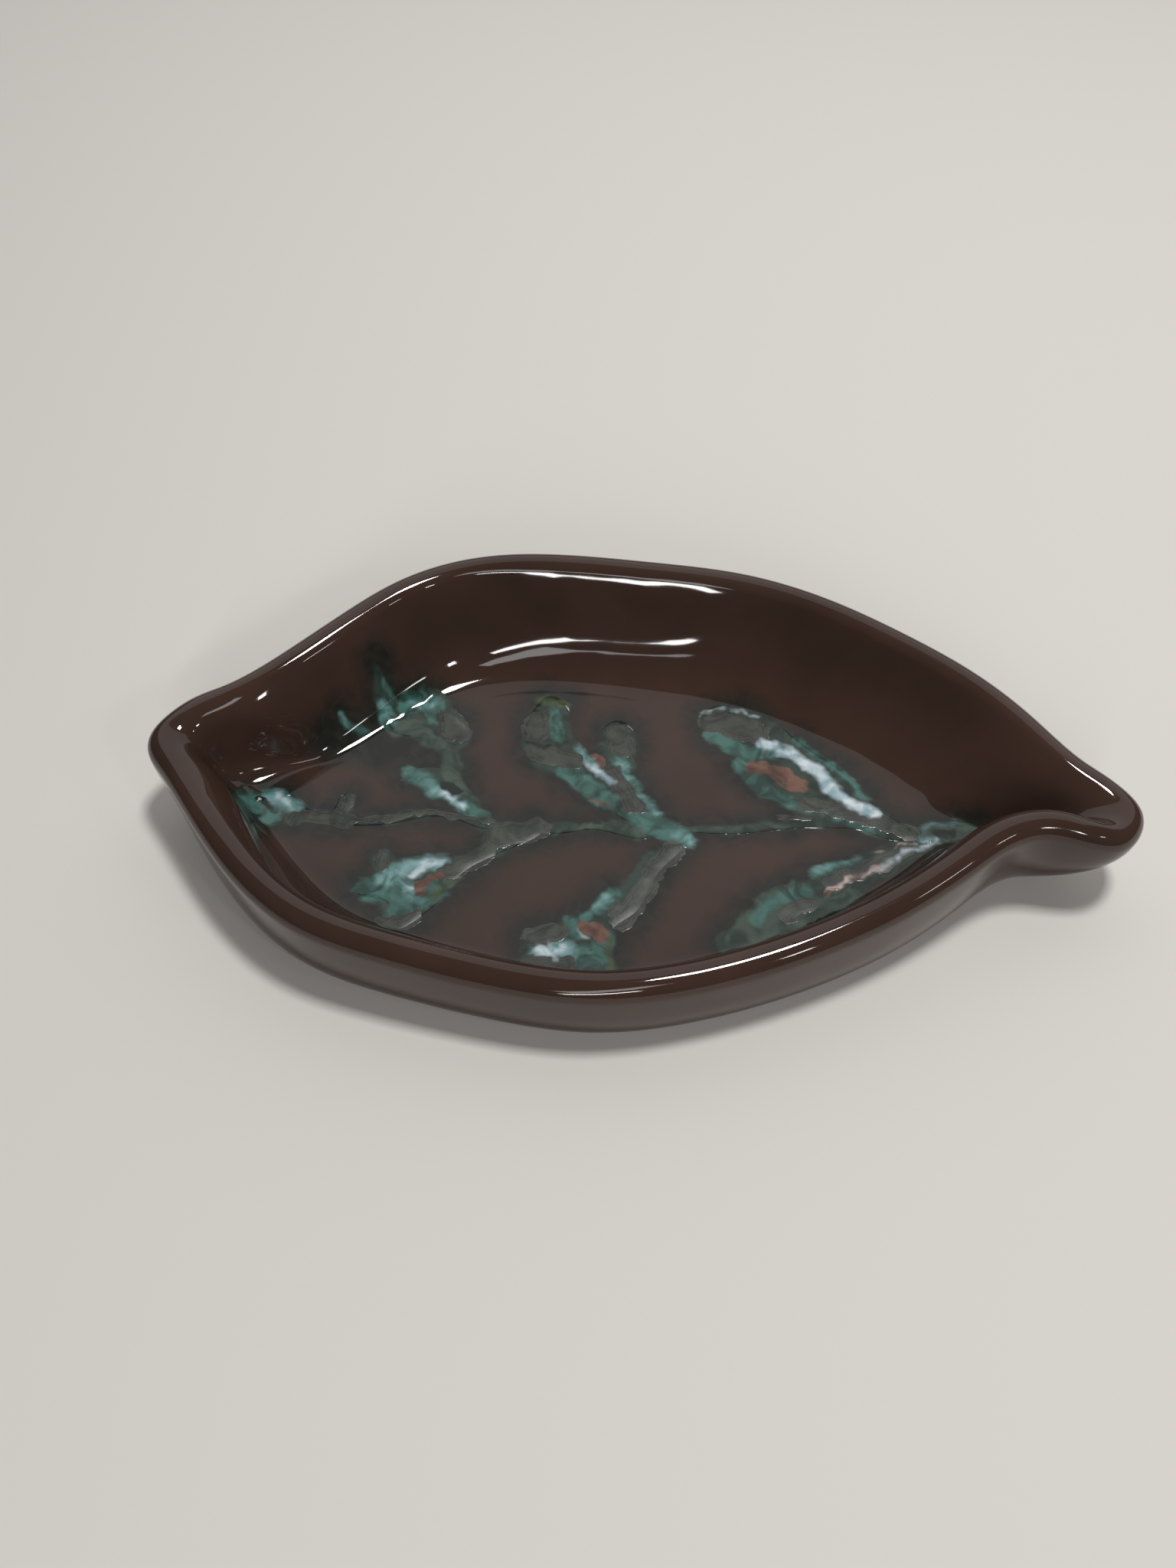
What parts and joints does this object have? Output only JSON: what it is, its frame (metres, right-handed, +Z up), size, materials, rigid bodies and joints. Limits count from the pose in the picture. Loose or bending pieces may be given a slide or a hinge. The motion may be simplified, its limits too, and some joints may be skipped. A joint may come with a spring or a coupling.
{
  "type": "ring dish",
  "caption": "Small leaf-shaped ring dish of glazed stoneware with a rolled rim, a short stem spout and trailed glaze veins on its floor.",
  "frame": {"origin": "under the middle of the dish's outer size, on the plane that the foot stands on", "axes": "+X along the leaf's midrib towards the stem spout, +Y towards the taller far side, +Z up"},
  "size_m": [0.1581, 0.0845, 0.0216],
  "materials": {
    "clay_body": "bare fired clay, fine grit",
    "brown_glaze": "glossy dark brown glaze",
    "vein_teal": "glossy teal glaze, thick",
    "vein_grey": "satin grey glaze, thick, with fine contour lines"
  },
  "bodies": {
    "root": {"clay_body": "clay_body", "brown_glaze": "brown_glaze", "midrib_left": "vein_grey", "midrib_right": "vein_teal", "near_vein_left": "vein_teal", "near_vein_middle": "vein_grey", "near_vein_right": "vein_grey", "far_vein_left": "vein_teal", "far_vein_middle": "vein_teal", "far_vein_right": "vein_grey", "tip_vein": "vein_teal", "stem_vein": "vein_teal"}
  },
  "joints": []
}
